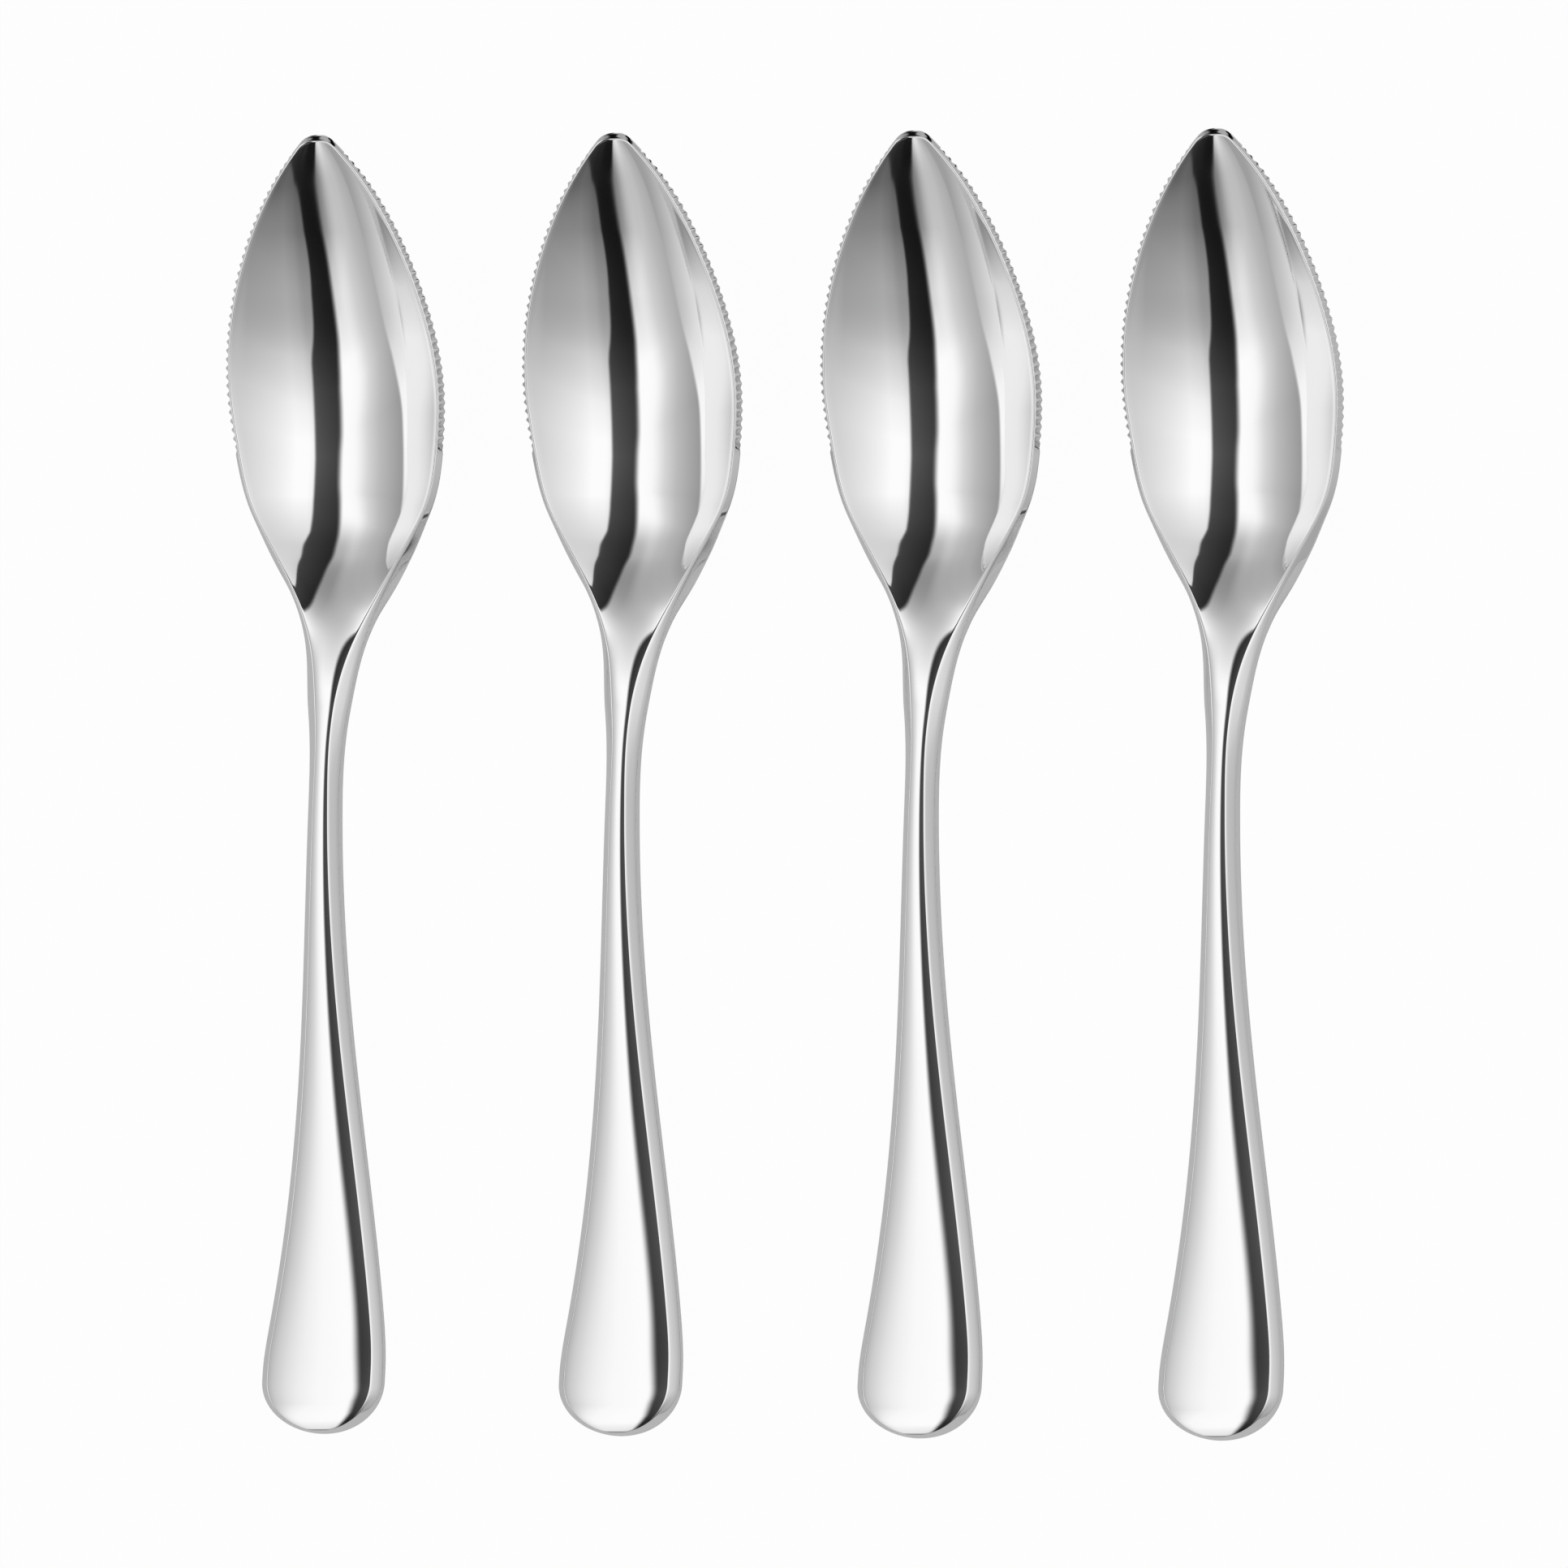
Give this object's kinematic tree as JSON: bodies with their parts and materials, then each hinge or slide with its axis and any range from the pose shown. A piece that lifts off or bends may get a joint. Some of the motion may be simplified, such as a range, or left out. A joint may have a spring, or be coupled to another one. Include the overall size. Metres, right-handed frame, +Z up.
{
  "type": "grapefruit spoon set",
  "caption": "Row of loose one-piece grapefruit spoons in mirror-polished steel, each with a pointed leaf-shaped bowl, a finely serrated rim and a flared handle.",
  "frame": {"origin": "on the table under the middle of the row, halfway along the spoons", "axes": "+Y along the spoons from the handle end to the bowl tip, +Z up out of the bowls, +X across the row"},
  "size_m": [0.1528, 0.165, 0.0175],
  "materials": {
    "polished_steel": "mirror-polished stainless steel"
  },
  "bodies": {
    "spoon_1": {"spoon_1": "polished_steel"},
    "spoon_2": {"spoon_2": "polished_steel"},
    "spoon_3": {"spoon_3": "polished_steel"},
    "spoon_4": {"spoon_4": "polished_steel"}
  },
  "joints": [
    {"name": "lift_2", "type": "slide", "parent": "spoon_1", "child": "spoon_2", "axis": [0, 0, 1], "range_m": [0, 0.1]},
    {"name": "lift_3", "type": "slide", "parent": "spoon_1", "child": "spoon_3", "axis": [0, 0, 1], "range_m": [0, 0.1]},
    {"name": "lift_4", "type": "slide", "parent": "spoon_1", "child": "spoon_4", "axis": [0, 0, 1], "range_m": [0, 0.1]}
  ]
}
